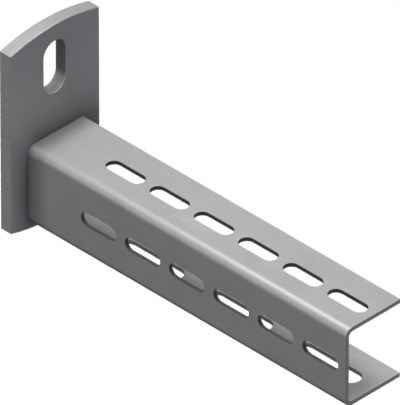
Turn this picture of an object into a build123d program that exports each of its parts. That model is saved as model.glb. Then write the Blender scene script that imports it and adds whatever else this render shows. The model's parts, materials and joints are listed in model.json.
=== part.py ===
from build123d import *

import os
from math import floor, sqrt

# Cantilever strut arm: a channel folded from slotted sheet stands out from a
# flat wall plate and is welded to it on the inside. Sizes are in millimetres.
# The origin is the middle of the plate's wall face. X runs from the wall
# along the arm, Y across the plate and Z up.

# Wall plate: upright sides, and a shallow arc at the top and at the foot
plate_width = 50.0
plate_height = 94.0  # from crown to crown
plate_thickness = 6.0
plate_arc_radius = 88.5
plate_edge_round = 0.4  # the soft edge that stamping leaves on the front

# The plate's one fixing slot, upright, above the arm
fixing_slot_width = 12.5
fixing_slot_length = 25.0
fixing_slot_drop = 20.4  # from the top crown to the slot's middle

# Channel arm: web on the -Y side, open on the +Y side
arm_length = 179.0  # from the plate's front to the free end
arm_width = 31.0
arm_height = 38.0
arm_rise = 3.8  # from the foot's crown to the arm's underside
sheet_thickness = 2.0
inner_bend_radius = 2.0

# The row of slots in the top flange, and the same row in the web
slot_width = 7.0
slot_length = 20.0
slot_bridge = 5.0  # metal left between neighbours
slot_end_distance = 14.0  # from the free end to the last slot's middle

# The row of longer and wider slots in the bottom flange
long_slot_width = 9.0
long_slot_length = 35.0
long_slot_bridge = 15.0
long_slot_end_distance = 25.0

# No row has a slot's middle closer to the plate than this
slot_root_distance = 30.0

# Welds, where the plate meets the inside of the web and of each flange
weld_leg = 2.5
weld_crown = 0.3  # how far the bead's face bulges
weld_edge_gap = 3.0  # from a bead's end to a flange's free edge

# Places that follow from the sizes
plate_top = plate_height / 2
plate_shoulder = plate_top - plate_arc_radius + sqrt(plate_arc_radius**2 - (plate_width / 2) ** 2)
fixing_slot_middle = plate_top - fixing_slot_drop
arm_foot = arm_rise - plate_height / 2
arm_top = arm_foot + arm_height
arm_middle = (arm_foot + arm_top) / 2
web_face = -arm_width / 2
free_edge = arm_width / 2
arm_end = plate_thickness + arm_length
inner_web = web_face + sheet_thickness
inner_top = arm_top - sheet_thickness
inner_foot = arm_foot + sheet_thickness


def make_plate():
    with BuildPart() as plate:
        with BuildSketch(Plane.YZ):
            with BuildLine():
                side = plate_width / 2
                ThreePointArc((-side, plate_shoulder), (0, plate_top), (side, plate_shoulder))
                Line((side, plate_shoulder), (side, -plate_shoulder))
                ThreePointArc((side, -plate_shoulder), (0, -plate_top), (-side, -plate_shoulder))
                Line((-side, -plate_shoulder), (-side, plate_shoulder))
            make_face()
            with Locations((0, fixing_slot_middle)):
                SlotOverall(fixing_slot_length, fixing_slot_width, rotation=90, mode=Mode.SUBTRACT)
        extrude(amount=plate_thickness)
        front = plate.faces().sort_by(Axis.X)[-1]
        fillet(front.edges(), radius=plate_edge_round)
    return plate.part


# Middles of a row's slots, counted from the free end back to the plate
def slot_middles(length, bridge, end_distance):
    pitch = length + bridge
    reach = arm_length - end_distance - slot_root_distance
    count = floor(reach / pitch) + 1
    return [(arm_end - end_distance - step * pitch, 0) for step in range(count)]


def make_arm():
    short_row = slot_middles(slot_length, slot_bridge, slot_end_distance)
    long_row = slot_middles(long_slot_length, long_slot_bridge, long_slot_end_distance)
    along = (1, 0, 0)
    top = Plane((0, 0, arm_top), along, (0, 0, 1))
    web = Plane((0, web_face, arm_middle), along, (0, -1, 0))
    foot = Plane((0, 0, arm_foot), along, (0, 0, -1))
    rows = [
        (top, short_row, slot_length, slot_width),
        (web, short_row, slot_length, slot_width),
        (foot, long_row, long_slot_length, long_slot_width),
    ]
    with BuildPart() as arm:
        with BuildSketch(Plane.YZ.offset(plate_thickness)):
            with BuildLine():
                FilletPolyline(
                    (free_edge, arm_top),
                    (web_face, arm_top),
                    (web_face, arm_foot),
                    (free_edge, arm_foot),
                    radius=inner_bend_radius + sheet_thickness,
                )
                offset(amount=sheet_thickness, side=Side.LEFT)
            make_face()
        extrude(amount=arm_length)
        for face, middles, length, width in rows:
            with BuildSketch(face):
                with Locations(middles):
                    SlotOverall(length, width)
            extrude(amount=-sheet_thickness, mode=Mode.SUBTRACT)
    return arm.part


# One bead in the corner between the plate's front and an inner face of the
# channel. It starts clear of the bend and of the next bead, and runs straight.
def make_weld(corner, run, length):
    with BuildPart() as bead:
        with BuildSketch(Plane(corner, (1, 0, 0), run)):
            with BuildLine():
                middle = weld_leg / 2 + weld_crown / sqrt(2)
                Polyline((0, weld_leg), (0, 0), (weld_leg, 0))
                ThreePointArc((weld_leg, 0), (middle, middle), (0, weld_leg))
            make_face()
        extrude(amount=length)
    return bead.part


corner_gap = inner_bend_radius + weld_leg
flange_run = free_edge - weld_edge_gap - inner_web - corner_gap
web_run = inner_top - inner_foot - 2 * corner_gap
flange_start = inner_web + corner_gap
flange_stop = flange_start + flange_run
top_corner = (plate_thickness, flange_start, inner_top)
web_corner = (plate_thickness, inner_web, inner_foot + corner_gap)
foot_corner = (plate_thickness, flange_stop, inner_foot)

nodes = {
    "wall_plate": make_plate(),
    "channel_arm": make_arm(),
    "weld_bead_top": make_weld(top_corner, (0, 1, 0), flange_run),
    "weld_bead_web": make_weld(web_corner, (0, 0, 1), web_run),
    "weld_bead_foot": make_weld(foot_corner, (0, -1, 0), flange_run),
}

os.makedirs("parts", exist_ok=True)
for name, solid in nodes.items():
    export_step(solid, f"parts/{name}.step")
    print(name, f"{solid.volume:.1f} mm3")
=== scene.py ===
import json
import math

import bpy
from mathutils import Matrix, Vector

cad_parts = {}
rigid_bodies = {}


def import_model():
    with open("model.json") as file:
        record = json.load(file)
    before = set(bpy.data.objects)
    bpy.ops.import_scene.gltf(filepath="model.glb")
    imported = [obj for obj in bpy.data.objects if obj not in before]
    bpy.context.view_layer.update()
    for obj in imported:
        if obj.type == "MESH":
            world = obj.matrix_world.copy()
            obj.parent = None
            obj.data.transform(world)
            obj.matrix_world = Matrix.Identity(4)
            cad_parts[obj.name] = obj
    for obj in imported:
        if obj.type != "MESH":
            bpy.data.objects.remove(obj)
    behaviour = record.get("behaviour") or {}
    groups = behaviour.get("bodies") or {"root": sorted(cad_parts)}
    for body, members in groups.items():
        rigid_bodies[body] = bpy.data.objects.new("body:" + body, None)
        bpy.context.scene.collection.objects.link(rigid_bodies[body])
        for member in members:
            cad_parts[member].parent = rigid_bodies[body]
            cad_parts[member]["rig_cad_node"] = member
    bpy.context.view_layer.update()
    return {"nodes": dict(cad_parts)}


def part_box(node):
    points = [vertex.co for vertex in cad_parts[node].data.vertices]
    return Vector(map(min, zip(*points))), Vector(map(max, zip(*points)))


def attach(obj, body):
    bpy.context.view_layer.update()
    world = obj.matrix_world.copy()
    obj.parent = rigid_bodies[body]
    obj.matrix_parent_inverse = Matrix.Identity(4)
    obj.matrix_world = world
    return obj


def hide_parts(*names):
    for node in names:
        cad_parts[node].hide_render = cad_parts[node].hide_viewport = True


# A folded channel arm welded to a flat wall plate, all galvanised steel.
# Everything is in metres and degrees, in the frame's own axes: X out from the
# wall, Y to the channel's open side, Z up.

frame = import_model()
mm = 0.001


def pick(piece):  # selects one object alone
    bpy.ops.object.select_all(action="DESELECT")
    piece.select_set(True)
    bpy.context.view_layer.objects.active = piece


def applyModifier(piece, kind, **settings):
    modifier = piece.modifiers.new(kind.lower(), kind)
    for key, value in settings.items():
        setattr(modifier, key, value)
    pick(piece)
    bpy.ops.object.modifier_apply(modifier=modifier.name)


# Rounds the look of arcs and soft edges, and keeps the flats flat
def shadeSteel(piece, sharpFrom):
    pick(piece)
    bpy.ops.object.shade_smooth_by_angle(angle=math.radians(sharpFrom))
    applyModifier(piece, "WEIGHTED_NORMAL", keep_sharp=True)


# A CAD node is loose triangles, so its copy is merged before it is shaped
cadCopy = {"mergeWithin": 0.001 * mm, "flatWithin": 0.5}


def mergedCopy(nodeName, pieceName):
    pick(frame["nodes"][nodeName])
    bpy.ops.object.duplicate()
    piece = bpy.context.object
    piece.name = pieceName
    piece.parent = None
    del piece["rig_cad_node"]
    bpy.ops.mesh.customdata_custom_splitnormals_clear()
    bpy.ops.object.mode_set(mode="EDIT")
    bpy.ops.mesh.select_all(action="SELECT")
    bpy.ops.mesh.remove_doubles(threshold=cadCopy["mergeWithin"])
    bpy.ops.mesh.dissolve_limited(angle_limit=math.radians(cadCopy["flatWithin"]))
    bpy.ops.object.mode_set(mode="OBJECT")
    return piece


# The channel: the shear and the punch leave its edges a little soft
channelEdge = {"width": 0.1 * mm, "segments": 2, "bevelFrom": 40, "sharpFrom": 35}
channel = mergedCopy("channel_arm", "slottedChannel")
applyModifier(
    channel, "BEVEL", width=channelEdge["width"], segments=channelEdge["segments"],
    limit_method="ANGLE", angle_limit=math.radians(channelEdge["bevelFrom"]),
    use_clamp_overlap=False, loop_slide=False,
)
shadeSteel(channel, channelEdge["sharpFrom"])
print("channel shaped")

# The wall plate: its front already has the soft edge that stamping leaves
plateEdge = {"sharpFrom": 35}
plate = mergedCopy("wall_plate", "wallPlate")
shadeSteel(plate, plateEdge["sharpFrom"])
print("wall plate shaped")

# One weld bead: overlapping drops along a run, fused and cut flat on the
# plate and on the wall. It is made along +Y from the origin with the plate
# at X = 0 and the wall under Z = 0, then turned about X to its corner.
# A drop's half sizes are out of the corner, along the run and across the
# face. Lead in and lead out go from a bead's ends to its nearest drops' middles.
weldBead = {
    "drop": (6.3 * mm, 2.2 * mm, 5.3 * mm),
    "segments": 48,
    "rings": 24,
    "sunk": 2.33 * mm,  # how far behind plate and wall a drop's middle lies
    "tilt": -45,        # out of the corner, half way between plate and wall
    "lean": 35,         # of each drop along the run
    "pitch": 1.1 * mm,
    "leadIn": 0.15 * mm,
    "leadOut": 4.05 * mm,
    "voxel": 0.12 * mm,
    "cutWithin": 0.0001 * mm,
    "sharpFrom": 50,
}


def makeWeld(nodeName, pieceName, corner, length, turn):
    size = weldBead
    run = length - size["leadIn"] - size["leadOut"]
    steps = int(run / size["pitch"])
    start = size["leadIn"] + (run - steps * size["pitch"]) / 2
    tilt = Matrix.Rotation(math.radians(size["tilt"]), 3, "Y")
    lean = Matrix.Rotation(math.radians(size["lean"]), 3, "Z")
    bpy.ops.object.select_all(action="DESELECT")
    bpy.ops.mesh.primitive_uv_sphere_add(
        segments=size["segments"], ring_count=size["rings"], radius=1,
        location=(-size["sunk"], start, -size["sunk"]),
        rotation=(tilt @ lean).to_euler(), scale=size["drop"],
    )
    bead = bpy.context.object
    bead.name = pieceName
    bpy.ops.object.transform_apply(location=True, rotation=True, scale=True)
    applyModifier(
        bead, "ARRAY", count=steps + 1, use_relative_offset=False,
        use_constant_offset=True, constant_offset_displace=(0, size["pitch"], 0),
    )
    applyModifier(bead, "REMESH", mode="VOXEL", voxel_size=size["voxel"])
    bpy.ops.object.mode_set(mode="EDIT")
    for normal in ((1, 0, 0), (0, 0, 1)):
        bpy.ops.mesh.select_all(action="SELECT")
        bpy.ops.mesh.bisect(
            plane_co=(0, 0, 0), plane_no=normal, use_fill=True, clear_inner=True,
            threshold=size["cutWithin"],
        )
    bpy.ops.object.mode_set(mode="OBJECT")
    bead.rotation_euler = (math.radians(turn), 0, 0)
    bead.location = corner
    bpy.ops.object.transform_apply(location=True, rotation=True, scale=True)
    shadeSteel(bead, size["sharpFrom"])
    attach(bead, "root")
    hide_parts(nodeName)
    return bead


# Each bead gets the corner where its run starts, its length and its turn
footLow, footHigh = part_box("weld_bead_foot")
webLow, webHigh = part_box("weld_bead_web")
topLow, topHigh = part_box("weld_bead_top")
webStart = (webLow.x, webLow.y, webHigh.z)
topStart = (topLow.x, topHigh.y, topHigh.z)
welds = [
    makeWeld("weld_bead_foot", "weldFoot", footLow, footHigh.y - footLow.y, 0),
    makeWeld("weld_bead_web", "weldWeb", webStart, webHigh.z - webLow.z, -90),
    makeWeld("weld_bead_top", "weldTop", topStart, topHigh.y - topLow.y, 180),
]
print("welds shaped")

for piece, node, slot in (
    (channel, "channel_arm", "zinc_coated_sheet"),
    (plate, "wall_plate", "zinc_coated_plate"),
):
    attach(piece, "root")
    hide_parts(node)


# Shader maths as plain expressions: a Socket wraps one output of a node
class Socket:
    def __init__(self, shader, out):
        self.shader = shader
        self.out = out

    def math(self, operation, *values):
        return self.shader.add("ShaderNodeMath", {"operation": operation}, *values)

    def __add__(self, other):
        return self.math("ADD", self, other)

    def __radd__(self, other):
        return self.math("ADD", other, self)

    def __sub__(self, other):
        return self.math("SUBTRACT", self, other)

    def __rsub__(self, other):
        return self.math("SUBTRACT", other, self)

    def __mul__(self, other):
        return self.math("MULTIPLY", self, other)

    def __rmul__(self, other):
        return self.math("MULTIPLY", other, self)

    def __abs__(self):
        return self.math("ABSOLUTE", self)

    def exp(self):
        return self.math("EXPONENT", self)

    def root(self):
        return self.math("SQRT", self)

    def atLeast(self, value):
        return self.math("MAXIMUM", self, value)

    def atMost(self, value):
        return self.math("MINIMUM", self, value)


# The nodes of a material or of the world. `surface` is the node that the
# results go into.
class Shader:
    def __init__(self, owner, surface):
        owner.use_nodes = True
        self.nodes = owner.node_tree.nodes
        self.links = owner.node_tree.links
        self.surface = self.nodes[surface]

    # Adds a node: its settings first, then the values or links of its inputs
    def add(self, kind, settings=None, *values, output=0, **named):
        node = self.nodes.new(kind)
        for key, value in (settings or {}).items():
            setattr(node, key, value)
        for index, value in enumerate(values):
            self.feed(node, index, value)
        for key, value in named.items():
            self.feed(node, key, value)
        return Socket(self, node.outputs[output])

    def feed(self, node, key, value):
        if isinstance(value, Socket):
            self.links.new(value.out, node.inputs[key])
        elif value is not None:
            node.inputs[key].default_value = value

    def axes(self, place):
        return [self.add("ShaderNodeSeparateXYZ", None, place, output=axis) for axis in range(3)]

    def stretch(self, place, factors):
        return self.add("ShaderNodeVectorMath", {"operation": "MULTIPLY"}, place, factors)

    def noise(self, place, size, detail=2):
        return self.add("ShaderNodeTexNoise", None, Vector=place, Scale=1 / size, Detail=detail)

    # A colour mix. The Mix node's inputs 1 to 5 are for numbers and vectors.
    def mix(self, factor, first, second):
        others = [None] * 5
        settings = {"data_type": "RGBA"}
        return self.add("ShaderNodeMix", settings, factor, *others, first, second, output=2)

    # 0 below the first value, 1 above the second and soft between them
    def ramp(self, value, low, high):
        settings = {"interpolation_type": "SMOOTHSTEP"}
        return self.add("ShaderNodeMapRange", settings, value, low, high)

    # 1 below the first value, 0 above the second and soft between them
    def fall(self, value, low, high):
        return 1 - self.ramp(value, low, high)


# Zinc on steel: broad patches, small crystals, lines from rolling, scuffs from
# handling, fine grain, and a darker colour where the given mask lays it: painted
# shade on the plate and the channel, a real dull film in blotches on the welds.
# Patterns read the object's own coordinates, and their sizes are in millimetres.
def makeZinc(name, look, shadeAndFilm):
    material = bpy.data.materials.new(name)
    shader = Shader(material, "Principled BSDF")
    coords = shader.add("ShaderNodeTexCoord", output="Object")
    place = shader.add("ShaderNodeVectorMath", {"operation": "SCALE"}, coords, Scale=1 / mm)
    cells = shader.add(
        "ShaderNodeTexVoronoi", None, Vector=place, Scale=1 / look["crystal"], output="Color",
    )
    crystal = shader.axes(cells)[0]
    patch = shader.noise(place, look["patch"], look["patchDetail"])
    line = shader.noise(shader.stretch(place, look["drawn"]), look["line"])
    grain = shader.noise(place, look["grain"])
    smeared = shader.stretch(place, look["smeared"])
    scuff = shader.noise(smeared, look["scuff"], look["scuffDetail"])
    scuff = shader.ramp(scuff, *look["scuffed"])
    # The mask: painted shade on the plate and the channel, a real dull film on the welds
    dullAndShade = shadeAndFilm(shader, place)

    tone = 0.5 + (patch - 0.5) * look["patchy"] + (crystal - 0.5) * look["spangled"]
    tone = tone + (line - 0.5) * look["lined"] + scuff * look["scuffPale"]
    zinc = shader.mix(tone, look["deep"], look["pale"])
    roughness = look["roughness"] + (crystal - 0.5) * look["crystalRough"]
    roughness = roughness + (patch - 0.5) * look["patchRough"]
    roughness = roughness + scuff * look["scuffRough"] + dullAndShade * look["shadeAndFilmRough"]
    height = grain + line * look["lined"] + crystal * look["spangled"] * look["crystalHigh"]
    bump = shader.add(
        "ShaderNodeBump", None,
        Strength=look["bump"], Distance=look["depth"] * mm, Height=height,
    )
    # Base colour darkened by that mask: painted shade on plate and channel, real film on the welds
    shader.feed(shader.surface, "Base Color", shader.mix(dullAndShade, zinc, look["shadeAndFilm"]))
    shader.feed(shader.surface, "Metallic", look["metallic"])
    shader.feed(shader.surface, "Roughness", roughness)
    shader.feed(shader.surface, "Normal", bump)
    return material


# A share that is `most` at the start of the way and dies away along it
def fade(way, most, reach):
    return most * (-1 / reach * way).exp()


def diagonal(first, second):
    return (first * first + second * second).root()


# Painted shade on the plate: its colour is darkened where the arm would shade it.
# On its front it lies along the arm's outline and over the arm, least at the arm's
# upper bend, and as a painted shadow beside the flanges' free edge. It is also
# painted shade on the wall of the fixing slot. A pair says where the painted
# shade starts or stops, little by little. All lengths are in millimetres.
platePaintedShade = {
    "bend": 4,                  # outer radius of the channel's bends
    "beside": (0.62, 5.2),      # the most of it, and its reach from the outline
    "besideStops": (-16, 1),    # above the arm's top
    "over": (0.79, 10),         # the most of it, and its reach above the arm
    "overStarts": (-15, -1),    # above the arm's top
    "overStops": (8, 30),
    "spread": 0.4,              # how far it widens with each mm of height
    "webSide": (-8.5, 10),      # from the web's face
    "openSide": (-7.5, 19.5),   # from the flanges' free edge
    "freeEdge": 0.33,           # the most of it beside the flanges' free edge
    "freeEdgeStarts": (0, 1.5),
    "freeEdgeMiddle": 11,       # below the arm's top
    "freeEdgeStops": (0, 17),   # up and down from that middle
    "front": (-1.5, -0.2),      # from the plate's front
    "wallStarts": (0.2, 0.4),   # from the plate's back
    "wallStops": (-0.6, -0.3),  # from the plate's front
    "slotMiddle": 26.6,         # above the origin
    "slotSide": (6.5, 7),       # to the sides of that middle
    "slotEnd": (13, 14),        # up and down from it
    "slotFoot": 0.3,            # how much of it at the slot's foot
    "slotRest": 0.42,           # and how much more on the rest of its wall
    "slotChange": (-9, -5),     # above the slot's middle
    "most": 0.97,
}


def plateShade(shader, place):
    dullAndShade = platePaintedShade
    low, high = (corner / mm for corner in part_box("channel_arm"))
    middle, half = (low + high) / 2, (high - low) / 2
    x, y, z = shader.axes(place)
    aside = (abs(y - middle.y) - (half.y - dullAndShade["bend"])).atLeast(0)
    above = (abs(z - middle.z) - (half.z - dullAndShade["bend"])).atLeast(0)
    way = abs(diagonal(aside, above) - dullAndShade["bend"])
    fromTop = z - high.z
    height = fromTop.atLeast(0)
    beside = fade(way, *dullAndShade["beside"]) * shader.fall(fromTop, *dullAndShade["besideStops"])
    over = fade(height, *dullAndShade["over"]) * shader.fall(height, *dullAndShade["overStops"])
    over = over * shader.ramp(fromTop, *dullAndShade["overStarts"])
    over = over * shader.ramp(y + height * dullAndShade["spread"] - low.y, *dullAndShade["webSide"])
    over = over * shader.fall(y - high.y, *dullAndShade["openSide"])
    # Painted shadow beside the flanges' free edge
    fromMiddle = abs(fromTop + dullAndShade["freeEdgeMiddle"])
    freeEdge = dullAndShade["freeEdge"] * shader.ramp(y - high.y, *dullAndShade["freeEdgeStarts"])
    freeEdge = freeEdge * shader.fall(fromMiddle, *dullAndShade["freeEdgeStops"])
    front = shader.ramp(x - low.x, *dullAndShade["front"])
    # Painted shade on the wall of the fixing slot
    fromSlot = z - dullAndShade["slotMiddle"]
    wall = shader.ramp(x, *dullAndShade["wallStarts"]) * shader.fall(x - low.x, *dullAndShade["wallStops"])
    wall = wall * shader.fall(abs(y), *dullAndShade["slotSide"])
    wall = wall * shader.fall(abs(fromSlot), *dullAndShade["slotEnd"])
    onWall = dullAndShade["slotFoot"] + dullAndShade["slotRest"] * shader.ramp(fromSlot, *dullAndShade["slotChange"])
    return (beside + over + freeEdge).atMost(dullAndShade["most"]) * front + wall * onWall


# Painted shade on the channel: its colour is darkened where the plate, the lower
# bend and the slots' walls would be in shade. From the plate it fades along the
# arm, soonest on the upper bend. It is also on the outside of the lower bend and of
# the bottom flange, and on the punched walls of the slots in the top flange and in
# the web. The sheared end is a little darker too. All lengths are in millimetres.
channelPaintedShade = {
    "bend": 4,                     # outer radius of the bends
    "onWeb": (0.57, 0, 13),        # the most of it, and where it fades along the arm
    "onBend": (0.42, 0, 4.5),
    "onTop": (0.63, -0.5, 10.5),
    "bendToTop": (0.9, 4.1),       # from the web's face
    "webToBend": (-4.2, -2.8),     # above the arm's top
    "underside": 0.38,
    "outside": (3.6, 3.9),         # from the middle of the lower bend
    "lowerBend": (-0.1, 1),        # down from where the lower bend starts
    "inTop": 0.96,                 # on the slots' walls
    "inWeb": 0.63,
    "halfSheet": 1,
    "wall": (0.8, 0.98),           # from the middle of the sheet
    "slotSide": (3.8, 4.5),        # from the middle of the row
    "slotsStop": (0.5, 1),         # from the free end
    "sheared": 0.13,
    "shearedDepth": (0.04, 0.12),  # from the free end
    "most": 0.97,
}


def channelShade(shader, place):
    dullAndShade = channelPaintedShade
    low, high = (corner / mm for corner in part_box("channel_arm"))
    middle = (low + high) / 2
    x, y, z = shader.axes(place)
    along, back = x - low.x, high.x - x
    fromWeb, fromTop = y - low.y, z - high.z

    def near(most, start, stop):
        return most * shader.fall(along, start, stop)

    # Painted shade fading along the arm from the plate
    onWeb, onBend, onTop = near(*dullAndShade["onWeb"]), near(*dullAndShade["onBend"]), near(*dullAndShade["onTop"])
    upper = onBend + (onTop - onBend) * shader.ramp(fromWeb, *dullAndShade["bendToTop"])
    joint = onWeb + (upper - onWeb) * shader.ramp(fromTop, *dullAndShade["webToBend"])
    # Painted shade on the outside of the lower bend and of the bottom flange
    aside = (low.y + dullAndShade["bend"] - y).atLeast(0)
    below = (low.z + dullAndShade["bend"] - z).atLeast(0)
    outside = shader.ramp(diagonal(aside, below), *dullAndShade["outside"])
    underside = dullAndShade["underside"] * outside * shader.ramp(below, *dullAndShade["lowerBend"])
    # Painted shade on the punched walls of the slots
    inTop = shader.fall(abs(fromTop + dullAndShade["halfSheet"]), *dullAndShade["wall"])
    inTop = inTop * shader.fall(abs(y), *dullAndShade["slotSide"]) * dullAndShade["inTop"]
    inWeb = shader.fall(abs(fromWeb - dullAndShade["halfSheet"]), *dullAndShade["wall"])
    inWeb = inWeb * shader.fall(abs(z - middle.z), *dullAndShade["slotSide"]) * dullAndShade["inWeb"]
    inSlots = (inTop + inWeb) * shader.ramp(back, *dullAndShade["slotsStop"])
    # A little darker on the sheared end
    sheared = dullAndShade["sheared"] * shader.fall(back, *dullAndShade["shearedDepth"])
    return (joint + underside * (1 - joint) + sheared + inSlots).atMost(dullAndShade["most"])


# On the welds the film lies in blotches
weldDull = {"blotch": 2.5, "detail": 3, "edge": (0.3, 0.8)}


def weldFilm(shader, place):
    blotches = shader.noise(place, weldDull["blotch"], weldDull["detail"])
    return shader.ramp(blotches, *weldDull["edge"])


# Sizes of the patterns are in millimetres, the rest are shares
zincLook = {
    "deep": (0.475, 0.475, 0.478, 1),
    "pale": (0.525, 0.525, 0.526, 1),
    # dark colour of the painted shade on plate and channel, and of the welds' dull film
    "shadeAndFilm": (0.08, 0.08, 0.082, 1),
    "metallic": 0.2,
    "roughness": 0.38,
    "patch": 16,
    "patchDetail": 3,
    "patchy": 1.0,
    "patchRough": 0.08,
    "crystal": 1.4,
    "spangled": 0.5,
    "crystalRough": 0.05,
    "crystalHigh": 0.5,
    "drawn": (0.03, 1, 1),
    "line": 0.6,
    "lined": 0.5,
    "smeared": (0.25, 1, 0.6),
    "scuff": 5,
    "scuffDetail": 4,
    "scuffed": (0.6, 0.72),
    "scuffPale": 0.2,
    "scuffRough": 0.07,
    "shadeAndFilmRough": 0.2,
    "grain": 0.2,
    "bump": 0.3,
    "depth": 0.02,
}
plateLook = {
    **zincLook, "roughness": 0.4, "patch": 20, "crystal": 2.2, "drawn": (1, 1, 0.05), "lined": 0.15,
}
weldLook = {
    **zincLook, "roughness": 0.5, "drawn": (1, 1, 1), "lined": 0.3, "grain": 0.35, "depth": 0.05,
}
sheetZinc = makeZinc("zincSheet", zincLook, channelShade)
plateZinc = makeZinc("zincPlate", plateLook, plateShade)
weldZinc = makeZinc("zincWeld", weldLook, weldFilm)
finishes = [(channel, sheetZinc), (plate, plateZinc)] + [(weld, weldZinc) for weld in welds]
for piece, zinc in finishes:
    piece.data.materials.clear()
    piece.data.materials.append(zinc)
print("zinc finished")


# The way to a lamp or to the camera, in degrees: from +X towards +Y, then up
def direction(azimuth, height):
    azimuth, height = math.radians(azimuth), math.radians(height)
    level = math.cos(height)
    return Vector((math.cos(azimuth) * level, math.sin(azimuth) * level, math.sin(height)))


# The camera looks along the diagonal of a cube, as in an isometric drawing,
# from so far away that parallel edges stay almost parallel
cameraView = {
    "azimuth": -45,
    "height": 35.264,
    "lens": 1690,
    "target": (87.99 * mm, 0.09 * mm, 0.84 * mm),
    "frameHeight": 161.54 * mm,
    "nearest": 0.01,  # what it sees, as shares of the way to the target
    "farthest": 2,
}
bpy.ops.object.camera_add()
camera = bpy.context.object
camera.data.lens = cameraView["lens"]
towardsCamera = direction(cameraView["azimuth"], cameraView["height"])
cameraDistance = cameraView["frameHeight"] * camera.data.lens / camera.data.sensor_width
camera.location = Vector(cameraView["target"]) + towardsCamera * cameraDistance
camera.rotation_euler = (-towardsCamera).to_track_quat("-Z", "Y").to_euler()
camera.data.clip_start = cameraView["nearest"] * cameraDistance
camera.data.clip_end = cameraView["farthest"] * cameraDistance
bpy.context.scene.camera = camera
bpy.context.scene.view_settings.view_transform = "Standard"
print("camera set")

# Pale studio floor, well below the bracket. The lights make it read as white.
studioFloor = {
    "width": 8.0,
    "height": -0.35,
    "colour": (1, 1, 1, 1),
    "roughness": 1,
    "specular": 0,
}
bpy.ops.mesh.primitive_plane_add(size=studioFloor["width"], location=(0, 0, studioFloor["height"]))
floor = bpy.context.object
floor.name = "studioFloor"
floor.visible_diffuse = False
floor.visible_glossy = False
floor.visible_shadow = False
paperMaterial = bpy.data.materials.new("floorPaper")
paper = Shader(paperMaterial, "Principled BSDF")
paper.feed(paper.surface, "Base Color", studioFloor["colour"])
paper.feed(paper.surface, "Roughness", studioFloor["roughness"])
paper.feed(paper.surface, "Specular IOR Level", studioFloor["specular"])
floor.data.materials.append(paperMaterial)

# Almost no light from the sky, and white where the camera looks past the floor
studioSky = {"glow": 0.01, "colour": (1, 1, 1, 1)}
world = bpy.data.worlds.new("studio")
bpy.context.scene.world = world
sky = Shader(world, "World Output")
glow = sky.nodes["Background"]
sky.feed(glow, "Color", studioSky["colour"])
sky.feed(glow, "Strength", studioSky["glow"])
backdrop = sky.add("ShaderNodeBackground", None, Color=studioSky["colour"])
inView = sky.add("ShaderNodeLightPath", output="Is Camera Ray")
either = sky.add("ShaderNodeMixShader", None, inView, Socket(sky, glow.outputs[0]), backdrop)
sky.feed(sky.surface, "Surface", either)

# Broad suns from the studio's lamps and, where the height is below 0, its floor
sunWidth = 30  # degrees across
studioSuns = [
    {"azimuth": 90, "height": 70, "strength": 1.99, "tint": (1.00, 0.998, 0.975)},
    {"azimuth": 90, "height": 70, "strength": 0.20, "tint": (1.00, 1.00, 1.00), "shadow": False},
    {"azimuth": 120, "height": 60, "strength": 0.28, "tint": (0.98, 0.98, 1.00)},
    {"azimuth": 0, "height": 60, "strength": 0.59, "tint": (0.88, 0.86, 1.00)},
    {"azimuth": 0, "height": -15, "strength": 0.12, "tint": (0.90, 0.86, 1.00)},
    {"azimuth": 0, "height": -35, "strength": 0.18, "tint": (0.92, 0.90, 1.00)},
    {"azimuth": 45, "height": -35, "strength": 0.08, "tint": (0.95, 0.95, 1.00)},
    {"azimuth": 270, "height": 12, "strength": 0.43, "tint": (0.98, 0.98, 1.00)},
    {"azimuth": 270, "height": 12, "strength": 0.38, "tint": (0.98, 0.98, 1.00), "shadow": False},
    {"azimuth": 225, "height": 12, "strength": 0.31, "tint": (1.00, 0.99, 0.99)},
    {"azimuth": 225, "height": 40, "strength": 0.16, "tint": (1.00, 1.00, 0.98), "shadow": False},
    {"azimuth": 180, "height": 5, "strength": 0.50, "tint": (1.00, 1.00, 1.00)},
]
for look in studioSuns:
    bpy.ops.object.light_add(type="SUN")
    sun = bpy.context.object
    towards = direction(look["azimuth"], look["height"])
    sun.rotation_euler = towards.to_track_quat("Z", "Y").to_euler()
    sun.data.energy = look["strength"]
    sun.data.angle = math.radians(sunWidth)
    sun.data.color = look["tint"]
    sun.data.use_shadow = look.get("shadow", True)

# Small lamps that only show as the gleam on the upper bend. Each hangs so far
# away in a direction from where the gleam is at the arm's end.
gleamAt = Vector((185 * mm, -13.5 * mm, -6.3 * mm))
gleams = [
    {"towards": (-0.577, -0.2, 0.79), "away": 0.4, "size": 0.24, "strength": 0.32},
    {"towards": (-0.577, 0.02, 0.815), "away": 0.25, "size": 0.12, "strength": 0.12},
]
for gleam in gleams:
    bpy.ops.object.light_add(type="AREA")
    lamp = bpy.context.object
    towards = Vector(gleam["towards"]).normalized()
    lamp.location = gleamAt + towards * gleam["away"]
    lamp.rotation_euler = towards.to_track_quat("Z", "Y").to_euler()
    lamp.data.shape = "DISK"
    lamp.data.size = gleam["size"]
    lamp.data.energy = gleam["strength"]
    lamp.data.use_shadow = False
    lamp.visible_diffuse = False
print("studio set")
